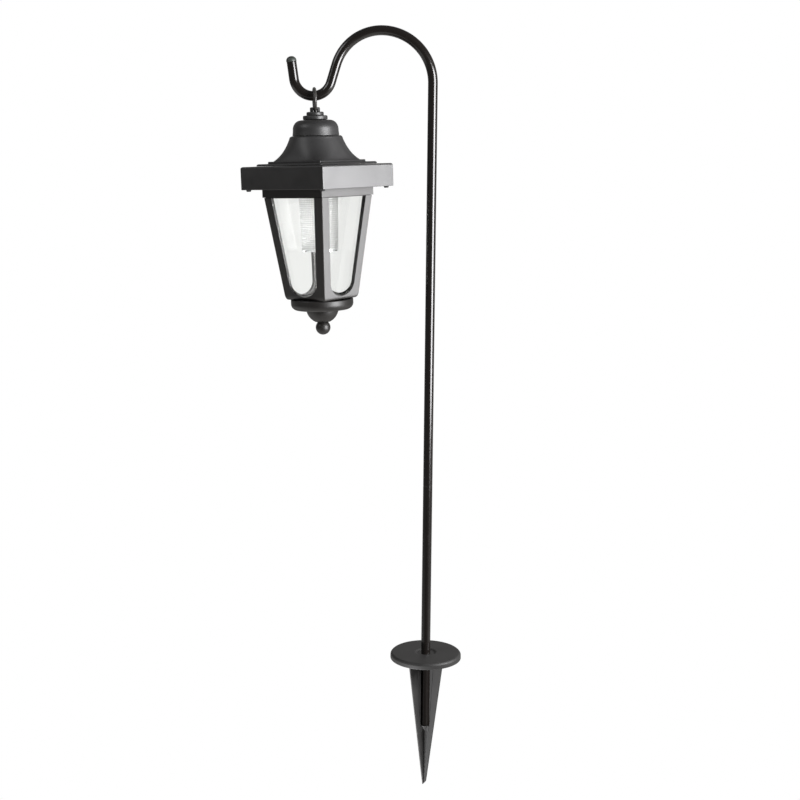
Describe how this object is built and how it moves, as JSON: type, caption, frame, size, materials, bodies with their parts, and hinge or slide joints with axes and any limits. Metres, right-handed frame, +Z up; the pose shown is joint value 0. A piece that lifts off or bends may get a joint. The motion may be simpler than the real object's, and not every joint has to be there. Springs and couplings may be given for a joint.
{
  "type": "solar garden light",
  "caption": "Solar lantern with a square roof, tapering clear-sided cage and ball finial, hung by a ring from a shepherd's hook on a ground stake.",
  "frame": {"origin": "on the pole's axis at ground level, in the plane of the stake disc's lower rim", "axes": "+Z up the pole, -X towards the hanging lantern, -Y to the front"},
  "size_m": [0.255, 0.17, 0.8892],
  "materials": {
    "gloss_black_steel": "gloss black paint on steel tube",
    "lantern_plastic": "satin charcoal-black moulded plastic",
    "stake_plastic": "matt dark grey moulded plastic",
    "cap_plastic": "matt grey plastic",
    "dark_wire": "dark satin wire",
    "clear_plastic": "clear moulded plastic",
    "mirror_coat": "bright reflector",
    "solar_cell": "dark blue cell under clear resin",
    "zinc_steel": "zinc-plated",
    "circuit_board": "green solder mask",
    "led_lens": "clear epoxy",
    "battery_sleeve": "green sleeve over a metal can",
    "red_wire": "red insulation",
    "black_wire": "black insulation"
  },
  "bodies": {
    "stake": {"ground_stake": "stake_plastic", "lower_tube": "gloss_black_steel"},
    "hook": {"hook_tube": "gloss_black_steel", "hook_tip_cap": "cap_plastic"},
    "ring": {"hanging_ring": "dark_wire"},
    "lantern": {"finial_turret": "lantern_plastic", "dome_cap": "lantern_plastic", "bell_canopy": "lantern_plastic", "turret_nut": "zinc_steel", "roof_tray": "lantern_plastic", "solar_cell_back_right": "solar_cell", "solar_cell_back_left": "solar_cell", "solar_cell_front_left": "solar_cell", "solar_cell_front_right": "solar_cell", "cell_link_1": "black_wire", "cell_link_2": "black_wire", "cell_link_3": "black_wire", "canopy_screw_1": "zinc_steel", "canopy_screw_2": "zinc_steel", "canopy_screw_3": "zinc_steel", "canopy_screw_4": "zinc_steel", "underplate_screw_1": "zinc_steel", "underplate_screw_2": "zinc_steel", "underplate_screw_3": "zinc_steel", "underplate_screw_4": "zinc_steel", "roof_underplate": "lantern_plastic", "battery": "battery_sleeve", "battery_contact": "zinc_steel", "battery_spring": "zinc_steel", "circuit_board": "circuit_board", "led": "led_lens", "switch_housing": "zinc_steel", "diffuser": "clear_plastic", "reflector_disc": "mirror_coat", "battery_lead_red": "red_wire", "battery_lead_black": "black_wire", "solar_lead_red": "red_wire", "solar_lead_black": "black_wire"},
    "cage": {"cage_frame": "lantern_plastic", "pane_back_right": "clear_plastic", "pane_back_left": "clear_plastic", "pane_front_left": "clear_plastic", "pane_front_right": "clear_plastic", "base_cup": "lantern_plastic", "ball_finial": "lantern_plastic", "ball_nut": "zinc_steel"},
    "battery_lid": {"battery_lid": "lantern_plastic"},
    "switch_knob": {"switch_knob": "lantern_plastic"}
  },
  "joints": [
    {"name": "hook_swivel", "type": "hinge", "parent": "stake", "child": "hook", "pos_m": [0, 0, 0.2095], "axis": [0, 0, 1], "continuous": true},
    {"name": "ring_swing", "type": "hinge", "parent": "hook", "child": "ring", "pos_m": [-0.13097, 0, 0.65163], "axis": [1, 0, 0], "range_deg": [-50, 50]},
    {"name": "lantern_swing", "type": "hinge", "parent": "ring", "child": "lantern", "pos_m": [-0.1304, 0, 0.63594], "axis": [-0.1252, 0.9921, -0.0046], "range_deg": [-20, 50]},
    {"name": "cage_pull", "type": "slide", "parent": "lantern", "child": "cage", "axis": [0.0365, 0, -0.9993], "range_m": [0, 0.09]},
    {"name": "battery_lid_hinge", "type": "hinge", "parent": "lantern", "child": "battery_lid", "pos_m": [-0.15195, -0.00312, 0.5492], "axis": [0.1252, -0.9921, 0.0046], "range_deg": [0, 85]},
    {"name": "switch_slide", "type": "slide", "parent": "lantern", "child": "switch_knob", "axis": [-0.1252, 0.9921, -0.0046], "range_m": [0, 0.003]}
  ]
}
